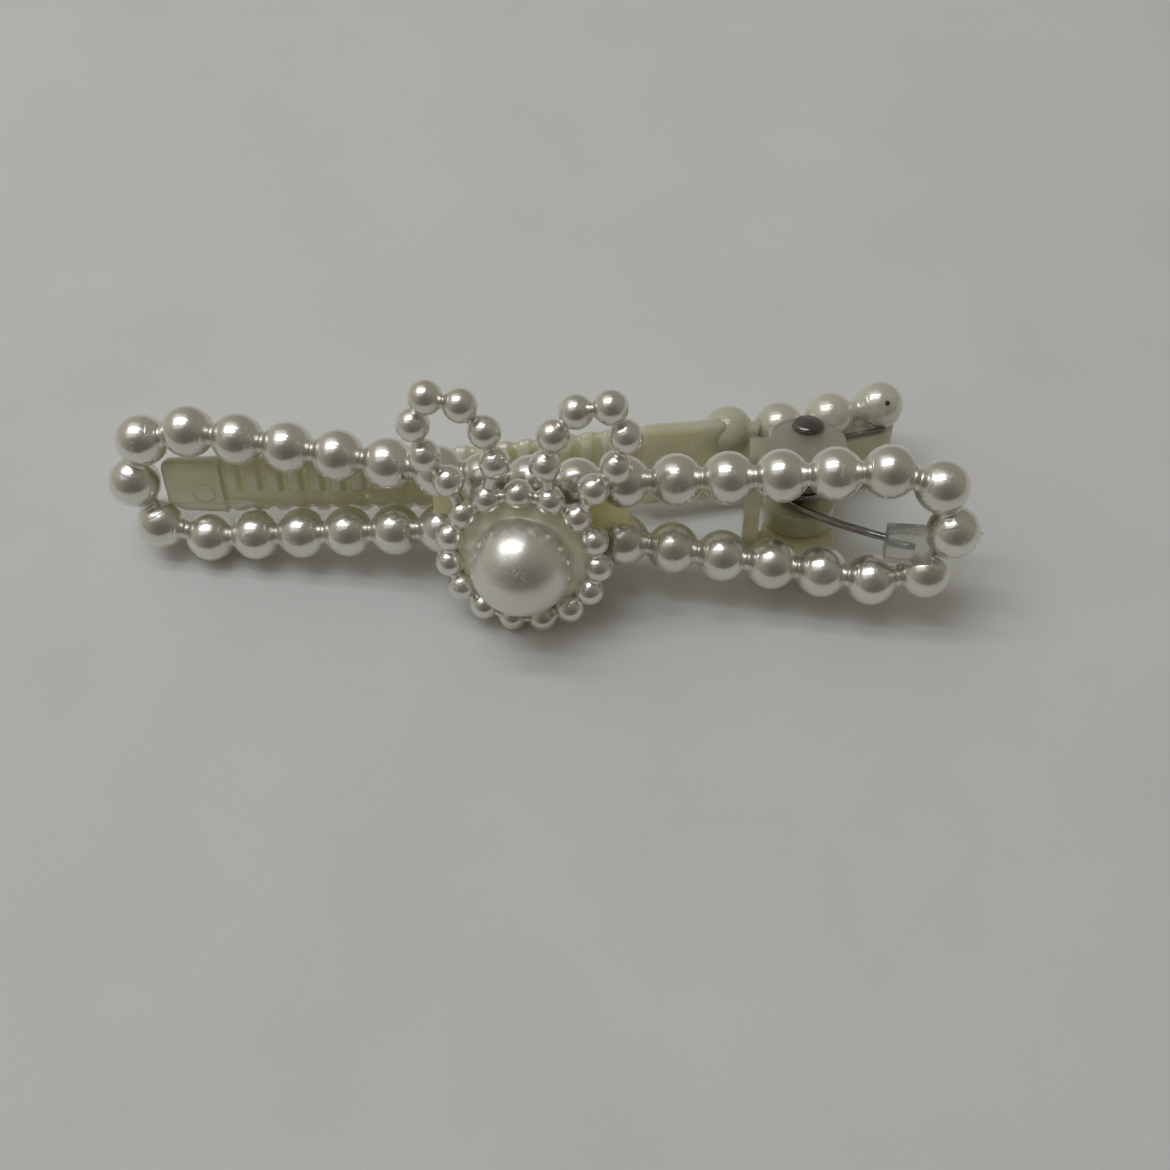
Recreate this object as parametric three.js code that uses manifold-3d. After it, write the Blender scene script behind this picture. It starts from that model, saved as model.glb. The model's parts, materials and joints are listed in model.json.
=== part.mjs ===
// A spring hair clip: a decorated arm moulded as a waisted loop of pearls, a ribbed arm behind it, the hinge
// pin and torsion spring between them, and a pearl ornament glued over the waist. It lies on its side.
import * as THREE from 'three';
import * as BufferGeometryUtils from 'three/addons/utils/BufferGeometryUtils.js';
import Module from 'manifold-3d';

const wasm = await Module();
wasm.setup();

// Driving dimensions, in millimetres. In the clip's own axes X runs along the arms towards the handle,
// Y from the decorated arm to the ribbed arm, and Z along the hinge pin.

// The loop of pearls: two rows that draw together at the waist, and three pearls round each end.
const loop = {
  pearlRadius: 2.5,
  neckRadius: 1.05,
  waistPitch: 4.38,
  waistHalfHeight: 2.75,
  rowPitch: 4.75,
  rowPearls: 6,
  rowSlope: 0.116,
  cornerX: 37.3,
  cornerZ: 4.75,
  endX: 39.1,
};

// The web that joins the two rows at the waist and carries the ornament.
const web = { halfLength: 11.5, halfHeight: 3.4, hollow: 2.2, thickness: 1.6 };

// The hinge: pin axis, the two outer lugs of the decorated arm and the two inner lugs of the ribbed arm.
const hinge = {
  x: 25.5,
  y: 7.1,
  pinRadius: 0.8,
  boreRadius: 0.95,
  lugTop: 6.0,
  lugBottom: 4.6,
  lugStart: 0.8,
  lugLeft: 20.05,
  lugRight: 29.3,
  shoulderY: 5.05,
  shoulderCorner: 0.3,
  tabY: 5.4,
  tabHalfWidth: 3.5,
  tabDepth: 3.8,
  wallRight: 21.5,
  wallFront: 1.6,
  innerLugRadius: 3.5,
  innerUpper: [3.3, 4.2],
  innerLower: [-4.3, -2.1],
  innerReach: 13.0,
  headRadius: 1.52,
  headHeight: 0.65,
  tailRadius: 1.15,
  tailHeight: 0.55,
  headGap: 0.12,
};

// The torsion spring: its coil round the pin, the front leg in the decorated arm's stop and the rear leg
// in a groove of the ribbed arm.
const spring = {
  wireRadius: 0.38,
  coilRadius: 2.0,
  turns: 3,
  low: -1.4,
  high: 2.65,
  frontAngle: 225,
  rearAngle: 116.6,
  frontReach: [27.5, 2.25],
  frontEnd: [35.8, -0.42],
  rearEndX: 33.7,
  stepsPerTurn: 8,
  legSteps: 7,
  sides: 5,
  clearance: 0.3,
};

// The stop block inside the handle end of the loop.
const stop = { x: [33.15, 37.4], y: [-1.55, 0.45], z: [-3.0, 0.4] };

// The ribbed arm: a bowed jaw that nests in the loop at its tip, and a short handle with pearls on its top.
const arm = {
  tipX: -36.4,
  tipSlope: 1.2,
  tipEdge: 0.2,
  padStart: -35.6,
  padRounding: 1.0,
  padEnd: -30.6,
  ribsStart: -30.2,
  ribPitch: 2.0,
  ribWidth: 1.1,
  ribFlank: 0.15,
  ribCount: 20,
  ribDepth: 0.7,
  ribCrestDrop: 0.3,
  lowerRibDrop: 0.55,
  plateStart: 10.8,
  plateFlank: 0.4,
  plateEnd: 15.4,
  bendX: 17.5,
  stepX: 19.3,
  stepLength: 0.3,
  stepDepth: 0.7,
  endX: 34.6,
  faceY: 4.75,
  faceSlope: 0.2165,
  faceBow: 0.0021,
  handleSlope: 0.251,
  thickness: 1.9,
  upperChamfer: 1.0,
  lowerChamfer: 1.15,
  grooveChamfer: 1.0,
  edgeChamfer: 0.35,
  channel: [-2.15, -0.8],
  faintChannel: 0.06,
};

// The arm's lower and upper edges, each as X, Z corners from the tip to the end of the handle.
const armLowerEdge = [
  [-36.4, -2.45],
  [-35.6, -2.7],
  [-34.6, -3.25],
  [-30.6, -3.35],
  [-30.2, -3.7],
  [10.8, -4.2],
  [17.5, -4.3],
  [34.6, -4.15],
];
const armUpperEdge = [
  [-36.4, 2.0],
  [-35.6, 2.35],
  [-30.6, 2.65],
  [-10, 3.2],
  [10.8, 4.65],
  [17.5, 4.65],
  [19.6, 4.1],
  [34.6, 3.65],
];

// Pearls on the handle's upper edge, each centre as X, Y, Z.
const handlePearls = [[18.15, 11.4, 2.75], [23.1, 12.4, 3.0], [28.0, 13.5, 3.8], [32.9, 15.4, 4.3]];

// The ornament: a ring of small pearls, two bead loops above it, a backing disc and a large cut pearl.
const ornament = {
  x: -0.3,
  y: -4.0,
  z: -3.24,
  ringRadius: 7.11,
  ringPearls: 15,
  ringPearlRadius: 1.4,
  ringTurn: 92,
  neckRadius: 0.6,
  discRadius: 6.7,
  discFront: -3.6,
  discBack: -3.1,
  loopOffset: 5.8,
  loopZ: 8.7,
  loopHalfWidth: 3.1,
  loopHalfHeight: 5.0,
  loopLean: 26.5,
  loopSlots: 8,
  beadRadius: [1.42, 1.57],
};
const centrePearl = { radius: 4.85, y: -5.05, flatY: -3.95 };
const glue = {
  lipOuter: 5.5,
  lipTop: -4.5,
  lipInner: 5.0,
  seam: 0.1,
  padRadius: 3.0,
  padZ: -0.6,
  padBack: -1.2,
};

// How the clip lies: it leans back on its lower hinge end and on the ornament, and one end sits lower.
const leanDegrees = 24.57;
const rollDegrees = 2.22;

// Finishes seen on the object.
const finish = {
  pearlCoat: new THREE.MeshStandardMaterial({ color: 0xd9d6cb, roughness: 0.22, metalness: 0.15 }),
  milkyPlastic: new THREE.MeshStandardMaterial({ color: 0xc6c2a6, roughness: 0.3, metalness: 0 }),
  steel: new THREE.MeshStandardMaterial({ color: 0x6d6a66, roughness: 0.25, metalness: 1 }),
  clearGlue: new THREE.MeshStandardMaterial({ color: 0xe2dfcf, roughness: 0.12, metalness: 0 }),
};

// Solids: a closed geometry turned into one that can be joined and cut, and back.

function toSolid(geometry) {
  const bare = geometry.clone();
  bare.deleteAttribute('normal');
  bare.deleteAttribute('uv');
  const merged = BufferGeometryUtils.mergeVertices(bare, 1e-4);
  return new wasm.Manifold(new wasm.Mesh({
    numProp: 3,
    vertProperties: new Float32Array(merged.attributes.position.array),
    triVerts: new Uint32Array(merged.index.array),
  }));
}

function toGeometry(solid) {
  const shape = solid.getMesh();
  const geometry = new THREE.BufferGeometry();
  geometry.setAttribute('position', new THREE.BufferAttribute(new Float32Array(shape.vertProperties), 3));
  geometry.setIndex(new THREE.BufferAttribute(new Uint32Array(shape.triVerts), 1));
  return geometry;
}

function joined(solids) {
  return solids.reduce((whole, solid) => whole.add(solid));
}

function named(name, geometry, material) {
  const mesh = new THREE.Mesh(geometry, material);
  mesh.name = name;
  return mesh;
}

// A moulded pearl: a ball of equal triangles.
function ball(centre, radius, detail) {
  return toSolid(new THREE.IcosahedronGeometry(radius, detail).translate(...centre));
}

// The neck between two pearls: a round bar from centre to centre.
function neck(from, to, radius) {
  const start = new THREE.Vector3(...from);
  const along = new THREE.Vector3(...to).sub(start);
  const bar = new THREE.CylinderGeometry(radius, radius, along.length(), 6);
  bar.applyQuaternion(new THREE.Quaternion().setFromUnitVectors(
    new THREE.Vector3(0, 1, 0), along.clone().normalize()));
  return toSolid(bar.translate(...start.addScaledVector(along, 0.5)));
}

// A straight run of pearls on one neck: a lathed profile with a pearl at each place along the line.
function pearlRow(from, to, places, radius, neckRadius) {
  const start = new THREE.Vector3(...from);
  const along = new THREE.Vector3(...to).sub(start);
  const length = along.length();
  const joint = Math.asin(neckRadius / radius);
  const profile = [];
  if (places[0] > 0) {
    profile.push([0, 0], [neckRadius, 0]);
  } else {
    profile.push([0, -radius]);
  }
  places.forEach((place) => {
    for (let i = 0; i <= 6; i += 1) {
      const angle = THREE.MathUtils.lerp(joint, Math.PI - joint, i / 6);
      profile.push([radius * Math.sin(angle), place - radius * Math.cos(angle)]);
    }
  });
  if (places[places.length - 1] < length) {
    profile.push([neckRadius, length], [0, length]);
  } else {
    profile.push([0, length + radius]);
  }
  const run = new THREE.LatheGeometry(profile.map(([r, y]) => new THREE.Vector2(r, y)), 12);
  run.applyQuaternion(new THREE.Quaternion().setFromUnitVectors(
    new THREE.Vector3(0, 1, 0), along.clone().normalize()));
  return toSolid(run.translate(...start));
}

// A string of pearls with a neck from each to the next.
function pearlString(centres, radiusAt, neckRadius, detail, closed) {
  const balls = centres.map((centre, i) => ball(centre, radiusAt(i), detail));
  const links = closed ? centres.length : centres.length - 1;
  const necks = [];
  for (let i = 0; i < links; i += 1) {
    necks.push(neck(centres[i], centres[(i + 1) % centres.length], neckRadius));
  }
  return joined([...balls, ...necks]);
}

// A plate cut to an outline in X and Y, standing between two heights.
function plate(outline, low, high) {
  const settings = { depth: high - low, bevelEnabled: false, curveSegments: 10 };
  return toSolid(new THREE.ExtrudeGeometry(outline, settings).translate(0, 0, low));
}

function block(x, y, z) {
  const size = new THREE.BoxGeometry(x[1] - x[0], y[1] - y[0], z[1] - z[0]);
  return toSolid(size.translate((x[0] + x[1]) / 2, (y[0] + y[1]) / 2, (z[0] + z[1]) / 2));
}

// A round bar on the hinge axis, for the lugs' bores.
function hingeBar(radius, low, high) {
  const bar = new THREE.CylinderGeometry(radius, radius, high - low, 16).rotateX(Math.PI / 2);
  return toSolid(bar.translate(hinge.x, hinge.y, (low + high) / 2));
}

// A round wire along a list of points, closed at both ends. Each ring of the wire stands square to its path.
function wire(path, radius, sides) {
  const positions = [];
  const indices = [];
  path.forEach((point, i) => {
    const ahead = path[Math.min(i + 1, path.length - 1)].clone().sub(path[Math.max(i - 1, 0)]).normalize();
    const across = new THREE.Vector3(0, 0, 1).cross(ahead).normalize();
    const up = ahead.clone().cross(across);
    for (let s = 0; s < sides; s += 1) {
      const angle = (2 * Math.PI * s) / sides;
      const spot = point.clone().addScaledVector(across, radius * Math.cos(angle));
      positions.push(...spot.addScaledVector(up, radius * Math.sin(angle)));
    }
  });
  for (let i = 0; i < path.length - 1; i += 1) {
    for (let s = 0; s < sides; s += 1) {
      const a = i * sides + s;
      const b = i * sides + ((s + 1) % sides);
      indices.push(a, b, b + sides, a, b + sides, a + sides);
    }
  }
  const last = (path.length - 1) * sides;
  for (let s = 1; s < sides - 1; s += 1) {
    indices.push(0, s + 1, s, last, last + s, last + s + 1);
  }
  const geometry = new THREE.BufferGeometry();
  geometry.setAttribute('position', new THREE.Float32BufferAttribute(positions, 3));
  geometry.setIndex(indices);
  return geometry;
}

// A solid lofted through sections that all have the same number of Y, Z points, each section at its own X.
function loft(sections) {
  const count = sections[0].points.length;
  const positions = sections.flatMap(({ x, points }) => points.flatMap(([y, z]) => [x, y, z]));
  const indices = [];
  for (let k = 0; k < sections.length - 1; k += 1) {
    for (let i = 0; i < count; i += 1) {
      const a = k * count + i;
      const b = k * count + ((i + 1) % count);
      indices.push(a, b, b + count, a, b + count, a + count);
    }
  }
  const flat = (section) => section.points.map(([y, z]) => new THREE.Vector2(y, z));
  const lastStart = (sections.length - 1) * count;
  THREE.ShapeUtils.triangulateShape(flat(sections[0]), []).forEach(([a, b, c]) => indices.push(a, c, b));
  THREE.ShapeUtils.triangulateShape(flat(sections[sections.length - 1]), []).forEach(([a, b, c]) => {
    indices.push(lastStart + a, lastStart + b, lastStart + c);
  });
  const geometry = new THREE.BufferGeometry();
  geometry.setAttribute('position', new THREE.Float32BufferAttribute(positions, 3));
  geometry.setIndex(indices);
  return toSolid(geometry);
}

// The torsion spring's path: front leg, coil climbing clockwise round the pin, rear leg.

function coilPoint(degrees, height) {
  const angle = THREE.MathUtils.degToRad(degrees);
  return new THREE.Vector3(
    hinge.x + spring.coilRadius * Math.cos(angle),
    hinge.y + spring.coilRadius * Math.sin(angle),
    height,
  );
}

// The front leg, from its end in the stop back to the coil: one curve that leaves the coil along its tangent.
function frontLeg() {
  const start = new THREE.Vector3(...spring.frontEnd, spring.low);
  const middle = new THREE.Vector3(...spring.frontReach, spring.low);
  const end = coilPoint(spring.frontAngle, spring.low);
  return new THREE.QuadraticBezierCurve3(start, middle, end).getPoints(spring.legSteps);
}

// The rear leg runs straight off the coil along its tangent.
function rearLeg() {
  const start = coilPoint(spring.rearAngle, spring.high);
  const angle = THREE.MathUtils.degToRad(spring.rearAngle);
  const along = new THREE.Vector3(Math.sin(angle), -Math.cos(angle), 0);
  const end = start.clone().addScaledVector(along, (spring.rearEndX - start.x) / along.x);
  return new THREE.LineCurve3(start, end).getPoints(spring.legSteps);
}

// The room for a leg in a moulding: the leg swept wider by the clearance, and longer by it at its free end,
// which comes first.
function legRoom(leg) {
  const [end, next] = leg;
  const beyond = end.clone().sub(next).setLength(spring.clearance).add(end);
  return toSolid(wire([beyond, ...leg], spring.wireRadius + spring.clearance, 8));
}

function springPath() {
  const sweep = spring.frontAngle - spring.rearAngle + 360 * spring.turns;
  const steps = Math.round((spring.stepsPerTurn * sweep) / 360);
  const coil = [];
  for (let i = 1; i < steps; i += 1) {
    const share = i / steps;
    const height = THREE.MathUtils.lerp(spring.low, spring.high, share);
    coil.push(coilPoint(spring.frontAngle - sweep * share, height));
  }
  return [...frontLeg(), ...coil, ...rearLeg()];
}

// The least gap between turns of the wire, measured between points of its path more than half a turn apart.
function leastGap(path) {
  const apart = spring.stepsPerTurn / 2;
  let least = Infinity;
  path.forEach((point, i) => {
    path.slice(i + apart).forEach((other) => {
      least = Math.min(least, point.distanceTo(other));
    });
  });
  return least - 2 * spring.wireRadius;
}

// The decorated arm.

// Height of a row of pearls above the loop's long axis.
function rowHeight(x) {
  const straightFrom = loop.waistPitch;
  return loop.waistHalfHeight + loop.rowSlope * Math.max(0, Math.abs(x) - straightFrom);
}

// Both rows of one half of the loop, each a straight run out from the waist.
function loopRows(side) {
  const xs = [loop.waistPitch];
  for (let i = 0; i < loop.rowPearls; i += 1) {
    xs.push(2 * loop.waistPitch + i * loop.rowPitch);
  }
  const rise = Math.hypot(1, loop.rowSlope);
  const places = xs.map((x) => (x - xs[0]) * rise);
  const last = xs[xs.length - 1];
  places[places.length - 1] = Math.hypot(last - xs[0], rowHeight(last) - rowHeight(xs[0]));
  return [1, -1].map((half) => pearlRow(
    [side * xs[0], 0, half * rowHeight(xs[0])],
    [side * last, 0, half * rowHeight(last)],
    places, loop.pearlRadius, loop.neckRadius));
}

// The pearls round one end of the loop, with necks to both rows.
function loopEnd(side) {
  const last = 2 * loop.waistPitch + (loop.rowPearls - 1) * loop.rowPitch;
  const bend = [
    [last, 0, rowHeight(last)],
    [loop.cornerX, 0, loop.cornerZ],
    [loop.endX, 0, 0],
    [loop.cornerX, 0, -loop.cornerZ],
    [last, 0, -rowHeight(last)],
  ].map(([x, y, z]) => [side * x, y, z]);
  const balls = bend.slice(1, -1).map((centre) => ball(centre, loop.pearlRadius, 2));
  const necks = bend.slice(1).map((centre, i) => neck(bend[i], centre, loop.neckRadius));
  return [...balls, ...necks];
}

// The middle pearl of each row at the waist, on its neck.
function waistPearls() {
  return [1, -1].map((half) => pearlRow(
    [-loop.waistPitch, 0, half * loop.waistHalfHeight],
    [loop.waistPitch, 0, half * loop.waistHalfHeight],
    [loop.waistPitch], loop.pearlRadius, loop.neckRadius));
}

// The web at the waist, with hollowed ends, extruded across the arm's thickness.
function waistWeb() {
  const { halfLength, halfHeight, hollow, thickness } = web;
  const outline = new THREE.Shape();
  outline.moveTo(-halfLength, -halfHeight);
  outline.lineTo(halfLength, -halfHeight);
  outline.quadraticCurveTo(halfLength - 2 * hollow, 0, halfLength, halfHeight);
  outline.lineTo(-halfLength, halfHeight);
  outline.quadraticCurveTo(-halfLength + 2 * hollow, 0, -halfLength, -halfHeight);
  const settings = { depth: thickness, bevelEnabled: false, curveSegments: 8 };
  const panel = new THREE.ExtrudeGeometry(outline, settings).translate(0, 0, -thickness / 2);
  return toSolid(panel.rotateX(Math.PI / 2));
}

// An outer lug: a tab that reaches back from the row of pearls to a shoulder and rounds off behind the pin.
function outerLug(low, high) {
  const { lugStart, lugLeft, lugRight, shoulderY, shoulderCorner, tabY, tabHalfWidth, tabDepth, x } = hinge;
  const outline = new THREE.Shape();
  outline.moveTo(lugLeft, lugStart);
  outline.lineTo(lugRight, lugStart);
  outline.lineTo(x + tabHalfWidth, tabY);
  outline.absellipse(x, tabY, tabHalfWidth, tabDepth, 0, Math.PI, false);
  outline.lineTo(x - tabHalfWidth, shoulderY);
  outline.lineTo(lugLeft + shoulderCorner, shoulderY);
  outline.lineTo(lugLeft, shoulderY - shoulderCorner);
  outline.closePath();
  return plate(outline, low, high);
}

// The side wall that joins the two outer lugs at their shoulders.
function lugWall() {
  const { lugLeft, wallRight, wallFront, shoulderY, shoulderCorner, lugTop } = hinge;
  return block([lugLeft, wallRight], [wallFront, shoulderY - shoulderCorner], [-lugTop, lugTop]);
}

function frontArm() {
  const gateNub = neck([loop.endX, 0, 0], [loop.endX + loop.pearlRadius + 0.3, 0, 0], 0.45);
  const whole = joined([
    ...waistPearls(),
    ...[-1, 1].flatMap((side) => [...loopRows(side), ...loopEnd(side)]),
    gateNub,
    waistWeb(),
    outerLug(hinge.lugBottom, hinge.lugTop),
    outerLug(-hinge.lugTop, -hinge.lugBottom),
    lugWall(),
    block(stop.x, stop.y, stop.z),
  ]);
  const bored = whole.subtract(hingeBar(hinge.boreRadius, -hinge.lugTop - 1, hinge.lugTop + 1));
  return bored.subtract(legRoom(frontLeg()));
}

// The ribbed arm.

// The arm's inner face, the one towards the decorated arm: bowed along the jaw, straight along the handle.
function faceY(x) {
  const along = Math.min(x, arm.bendX);
  const jaw = arm.faceY + arm.faceSlope * along + arm.faceBow * along * along;
  return jaw + arm.handleSlope * Math.max(0, x - arm.bendX);
}

// Height of an edge at a place along the arm, on straight lines between its corners.
function edgeHeight(corners, x) {
  const next = corners.findIndex(([cornerX]) => cornerX >= x);
  const [endX, endZ] = corners[next];
  const [startX, startZ] = corners[Math.max(next - 1, 0)];
  return endX === startX ? endZ : THREE.MathUtils.mapLinear(x, startX, endX, startZ, endZ);
}

// One section of the arm: the inner face with its chamfered edges and lengthwise channel, and the flat back.
// The face is sunk in the grooves and along the handle, and the part below the channel lies a ledge deeper.
function armSection(x, options) {
  const { sunk = 0, drop = 0, upper = arm.edgeChamfer, lower = arm.edgeChamfer, ledge = 0 } = options;
  const { channel = arm.faintChannel, edge = arm.edgeChamfer, step = 0 } = options;
  const front = faceY(x) + sunk + step;
  const back = faceY(x) + arm.thickness + step;
  const top = edgeHeight(armUpperEdge, x) - drop;
  const bottom = edgeHeight(armLowerEdge, x) + drop;
  const [low, high] = arm.channel;
  const points = [
    [back, bottom + edge],
    [back, top - edge],
    [back - edge, top],
    [front + upper, top],
    [front, top - upper],
    [front, high],
    [front + channel, high],
    [front + channel, low],
    [front + ledge, low],
    [front + ledge, bottom + lower],
    [front + ledge + lower, bottom],
    [back - edge, bottom],
  ];
  return { x, points };
}

function armBody() {
  const { ribDepth, ribCrestDrop, lowerRibDrop, upperChamfer, lowerChamfer, grooveChamfer, tipEdge } = arm;
  const plain = {};
  const rib = { upper: upperChamfer, lower: lowerChamfer, channel: ribDepth, ledge: lowerRibDrop };
  const groove = { sunk: ribDepth, drop: ribCrestDrop, lower: grooveChamfer };
  const tip = { sunk: arm.tipSlope, upper: tipEdge, lower: tipEdge, edge: tipEdge };
  const handle = { step: arm.stepDepth };
  const sections = [
    armSection(arm.tipX, tip),
    armSection(arm.padStart, plain),
    armSection(arm.padStart + arm.padRounding, plain),
    armSection(arm.padEnd, plain),
  ];
  for (let i = 0; i < arm.ribCount; i += 1) {
    const start = arm.ribsStart + i * arm.ribPitch;
    sections.push(armSection(start, groove));
    sections.push(armSection(start + arm.ribFlank, rib));
    sections.push(armSection(start + arm.ribFlank + arm.ribWidth, rib));
    sections.push(armSection(start + 2 * arm.ribFlank + arm.ribWidth, groove));
  }
  sections.push(armSection(arm.plateStart - arm.plateFlank, groove));
  [arm.plateStart, arm.plateEnd, arm.bendX, arm.stepX].forEach((x) => sections.push(armSection(x, plain)));
  [arm.stepX + arm.stepLength, arm.endX].forEach((x) => sections.push(armSection(x, handle)));
  return loft(sections);
}

// An inner lug: a round eye on the pin with a neck back into the arm.
function innerLug([low, high]) {
  const { x, y, innerLugRadius, innerReach } = hinge;
  const outline = new THREE.Shape();
  outline.absarc(x, y, innerLugRadius, Math.PI, 0, false);
  outline.lineTo(x + innerLugRadius, innerReach);
  outline.lineTo(x - innerLugRadius, innerReach - 2 * innerLugRadius * arm.handleSlope);
  outline.closePath();
  return plate(outline, low, high);
}

function rearArm() {
  const pearls = handlePearls.map((centre) => ball(centre, loop.pearlRadius, 2));
  const lastNeck = neck(handlePearls[2], handlePearls[3], loop.neckRadius);
  const whole = joined([
    armBody(),
    innerLug(hinge.innerUpper),
    innerLug(hinge.innerLower),
    ...pearls,
    lastNeck,
  ]);
  const bored = whole.subtract(hingeBar(hinge.boreRadius + 0.05, -hinge.lugTop, hinge.lugTop));
  return bored.subtract(legRoom(rearLeg().reverse()));
}

// The hinge pin: a headed rivet, its tail spread under the lower lug.
function hingePin() {
  const { pinRadius, headRadius, headHeight, headGap, tailRadius, tailHeight, lugTop } = hinge;
  const seat = lugTop + headGap;
  const profile = [
    [0, -seat - tailHeight],
    [tailRadius, -seat - tailHeight],
    [tailRadius, -seat],
    [pinRadius, -seat],
    [pinRadius, seat],
    [headRadius, seat],
    [headRadius, seat + 0.6 * headHeight],
    [0.7 * headRadius, seat + headHeight],
    [0, seat + headHeight],
  ].map(([radius, height]) => new THREE.Vector2(radius, height));
  return new THREE.LatheGeometry(profile, 16).rotateX(Math.PI / 2).translate(hinge.x, hinge.y, 0);
}

// The ornament.

function ringCentre(step) {
  const angle = THREE.MathUtils.degToRad(ornament.ringTurn + (360 / ornament.ringPearls) * step);
  return [
    ornament.x + ornament.ringRadius * Math.cos(angle),
    ornament.y,
    ornament.z + ornament.ringRadius * Math.sin(angle),
  ];
}

// Bead centres of one of the two loops: evenly spaced on a leaning ellipse, its lowest place left to the ring.
function beadLoop(side) {
  const { x, y, loopOffset, loopZ, loopHalfWidth, loopHalfHeight, loopLean, loopSlots } = ornament;
  const lean = THREE.MathUtils.degToRad(-side * loopLean);
  const bottom = -Math.PI / 2;
  const middle = x + side * loopOffset;
  const round = bottom + 2 * Math.PI;
  const curve = new THREE.EllipseCurve(
    middle, loopZ, loopHalfWidth, loopHalfHeight, bottom, round, side < 0, lean);
  return curve.getSpacedPoints(loopSlots).slice(1, loopSlots).map((spot) => [spot.x, y, spot.y]);
}

// Bead size grows a little towards the top of a loop.
function beadRadius(index) {
  const rise = Math.sin((Math.PI * (index + 1)) / ornament.loopSlots);
  return THREE.MathUtils.lerp(...ornament.beadRadius, rise);
}

// Both loops run from the ring pearl nearest the middle, up, round and back to the ring pearl beside it.
function ornamentFrame() {
  const { x, z, discRadius, discFront, discBack, neckRadius, ringPearlRadius } = ornament;
  const ring = Array.from({ length: ornament.ringPearls }, (_, i) => ringCentre(i));
  const disc = new THREE.CylinderGeometry(discRadius, discRadius, discBack - discFront, 28);
  const solids = [
    toSolid(disc.translate(x, (discFront + discBack) / 2, z)),
    pearlString(ring, () => ringPearlRadius, neckRadius, 1, true),
  ];
  [-1, 1].forEach((side) => {
    const beads = beadLoop(side);
    solids.push(pearlString(beads, beadRadius, neckRadius, 1, false));
    solids.push(neck(beads[0], ringCentre(-2 * side), neckRadius));
    solids.push(neck(beads[beads.length - 1], ringCentre(-side), neckRadius));
  });
  return joined(solids);
}

// The large pearl, cut flat at the back: a lathed profile of its ball.
function centrePearlBody() {
  const { radius, y, flatY } = centrePearl;
  const edgeAngle = Math.asin((flatY - y) / radius);
  const steps = 9;
  const profile = [new THREE.Vector2(0, y - radius)];
  for (let i = 1; i <= steps; i += 1) {
    const angle = THREE.MathUtils.lerp(-Math.PI / 2, edgeAngle, i / steps);
    profile.push(new THREE.Vector2(radius * Math.cos(angle), y + radius * Math.sin(angle)));
  }
  profile.push(new THREE.Vector2(0, flatY));
  return new THREE.LatheGeometry(profile, 24).translate(ornament.x, 0, ornament.z);
}

// The glue that holds the large pearl: a thin bed on the disc with a lip round the pearl.
function pearlGlue() {
  const { lipOuter, lipTop, lipInner, seam } = glue;
  const bed = centrePearl.flatY + seam;
  const base = ornament.discFront - seam;
  const profile = [
    [0, bed],
    [lipInner, bed],
    [lipInner, lipTop],
    [lipInner + 0.1, lipTop],
    [lipOuter, base],
    [0, base],
  ].map(([radius, y]) => new THREE.Vector2(radius, y));
  return new THREE.LatheGeometry(profile, 24).translate(ornament.x, 0, ornament.z);
}

// The glue between the disc and the arm's waist: a round pad pressed between the waist pearls.
function ornamentGlue() {
  const front = ornament.discBack + glue.seam;
  const pad = new THREE.CylinderGeometry(glue.padRadius, glue.padRadius, glue.padBack - front, 20);
  const solid = toSolid(pad.translate(0, (front + glue.padBack) / 2, glue.padZ));
  const room = loop.pearlRadius + glue.seam;
  const waist = [-1, 0, 1].flatMap((i) => [1, -1].map((side) => (
    [i * loop.waistPitch, 0, side * loop.waistHalfHeight])));
  return waist.reduce((rest, centre) => rest.subtract(ball(centre, room, 2)), solid);
}

// Assembly: the clip in its own axes, then laid down and set on the ground under its middle.

const springRoute = springPath();
console.log('least gap between turns of the spring, mm:', leastGap(springRoute).toFixed(2));

const clip = new THREE.Group();
clip.add(named('front_arm', toGeometry(frontArm()), finish.pearlCoat));
clip.add(named('rear_arm', toGeometry(rearArm()), finish.milkyPlastic));
clip.add(named('hinge_pin', hingePin(), finish.steel));
clip.add(named('torsion_spring', wire(springRoute, spring.wireRadius, spring.sides), finish.steel));
clip.add(named('ornament_frame', toGeometry(ornamentFrame()), finish.pearlCoat));
clip.add(named('centre_pearl', centrePearlBody(), finish.pearlCoat));
clip.add(named('pearl_glue', pearlGlue(), finish.clearGlue));
clip.add(named('ornament_glue', toGeometry(ornamentGlue()), finish.clearGlue));
clip.rotation.set(
  THREE.MathUtils.degToRad(-leanDegrees), THREE.MathUtils.degToRad(-rollDegrees), 0);

const group = new THREE.Group();
group.add(clip);
group.updateMatrixWorld(true);
const extent = new THREE.Box3().setFromObject(clip, true);
const middle = extent.getCenter(new THREE.Vector3());
clip.position.set(-middle.x, -middle.y, -extent.min.z);

export default group;
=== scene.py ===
# A spring hair clip: a waisted loop of moulded pearls, a ribbed arm behind it, a pinned hinge with its
# torsion spring, and a pearl ring with two bead loops glued over the waist.
import json
import bpy
import numpy as np
from mathutils import Matrix, Vector


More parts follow.
